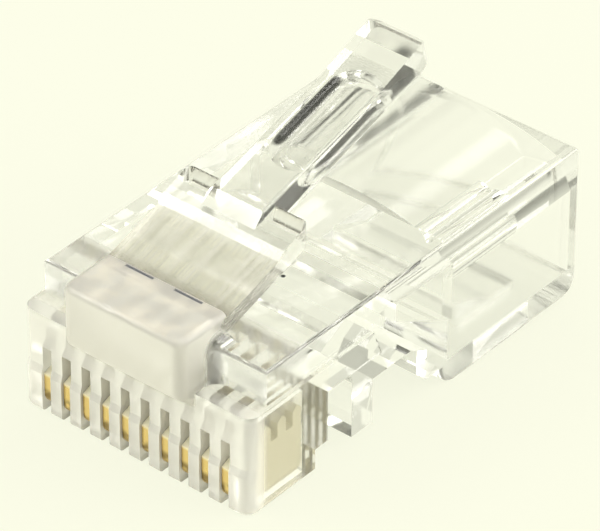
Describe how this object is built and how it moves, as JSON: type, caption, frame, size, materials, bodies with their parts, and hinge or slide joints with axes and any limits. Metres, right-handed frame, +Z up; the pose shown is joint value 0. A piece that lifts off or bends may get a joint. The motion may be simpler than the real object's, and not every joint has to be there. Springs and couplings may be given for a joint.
{
  "type": "ten position modular plug",
  "caption": "Clear moulded modular plug with a comb of gold contact blades at the nose, a vaulted cable cavity behind and a sprung snap latch on top.",
  "frame": {"origin": "under the middle of the plug's length and width, at the level of the cable end's underside", "axes": "+X across the width, +Y from the nose to the cable end, +Z up to the latch"},
  "size_m": [0.0116, 0.0216, 0.0128],
  "materials": {
    "clear_plastic": "clear, polished, frosted on the latch root and the comb",
    "contact": "gold plated"
  },
  "bodies": {
    "housing": {"housing": "clear_plastic"},
    "latch": {"latch_lever": "clear_plastic"},
    "contact_01": {"contact_01": "contact"},
    "contact_02": {"contact_02": "contact"},
    "contact_03": {"contact_03": "contact"},
    "contact_04": {"contact_04": "contact"},
    "contact_05": {"contact_05": "contact"},
    "contact_06": {"contact_06": "contact"},
    "contact_07": {"contact_07": "contact"},
    "contact_08": {"contact_08": "contact"},
    "contact_09": {"contact_09": "contact"},
    "contact_10": {"contact_10": "contact"}
  },
  "joints": [
    {"name": "latch_press", "type": "hinge", "parent": "housing", "child": "latch", "pos_m": [0, -0.008, 0.00771], "axis": [-1, 0, 0], "range_deg": [0, 16], "stiffness_Nm_per_rad": 0.12},
    {"name": "crimp_01", "type": "slide", "parent": "housing", "child": "contact_01", "axis": [0, 0, 1], "range_m": [0, 0.0005]},
    {"name": "crimp_02", "type": "slide", "parent": "housing", "child": "contact_02", "axis": [0, 0, 1], "range_m": [0, 0.0005]},
    {"name": "crimp_03", "type": "slide", "parent": "housing", "child": "contact_03", "axis": [0, 0, 1], "range_m": [0, 0.0005]},
    {"name": "crimp_04", "type": "slide", "parent": "housing", "child": "contact_04", "axis": [0, 0, 1], "range_m": [0, 0.0005]},
    {"name": "crimp_05", "type": "slide", "parent": "housing", "child": "contact_05", "axis": [0, 0, 1], "range_m": [0, 0.0005]},
    {"name": "crimp_06", "type": "slide", "parent": "housing", "child": "contact_06", "axis": [0, 0, 1], "range_m": [0, 0.0005]},
    {"name": "crimp_07", "type": "slide", "parent": "housing", "child": "contact_07", "axis": [0, 0, 1], "range_m": [0, 0.0005]},
    {"name": "crimp_08", "type": "slide", "parent": "housing", "child": "contact_08", "axis": [0, 0, 1], "range_m": [0, 0.0005]},
    {"name": "crimp_09", "type": "slide", "parent": "housing", "child": "contact_09", "axis": [0, 0, 1], "range_m": [0, 0.0005]},
    {"name": "crimp_10", "type": "slide", "parent": "housing", "child": "contact_10", "axis": [0, 0, 1], "range_m": [0, 0.0005]}
  ],
  "couplings": [
    {"joint": "crimp_02", "follows": "crimp_01", "ratio": 1},
    {"joint": "crimp_03", "follows": "crimp_01", "ratio": 1},
    {"joint": "crimp_04", "follows": "crimp_01", "ratio": 1},
    {"joint": "crimp_05", "follows": "crimp_01", "ratio": 1},
    {"joint": "crimp_06", "follows": "crimp_01", "ratio": 1},
    {"joint": "crimp_07", "follows": "crimp_01", "ratio": 1},
    {"joint": "crimp_08", "follows": "crimp_01", "ratio": 1},
    {"joint": "crimp_09", "follows": "crimp_01", "ratio": 1},
    {"joint": "crimp_10", "follows": "crimp_01", "ratio": 1}
  ]
}
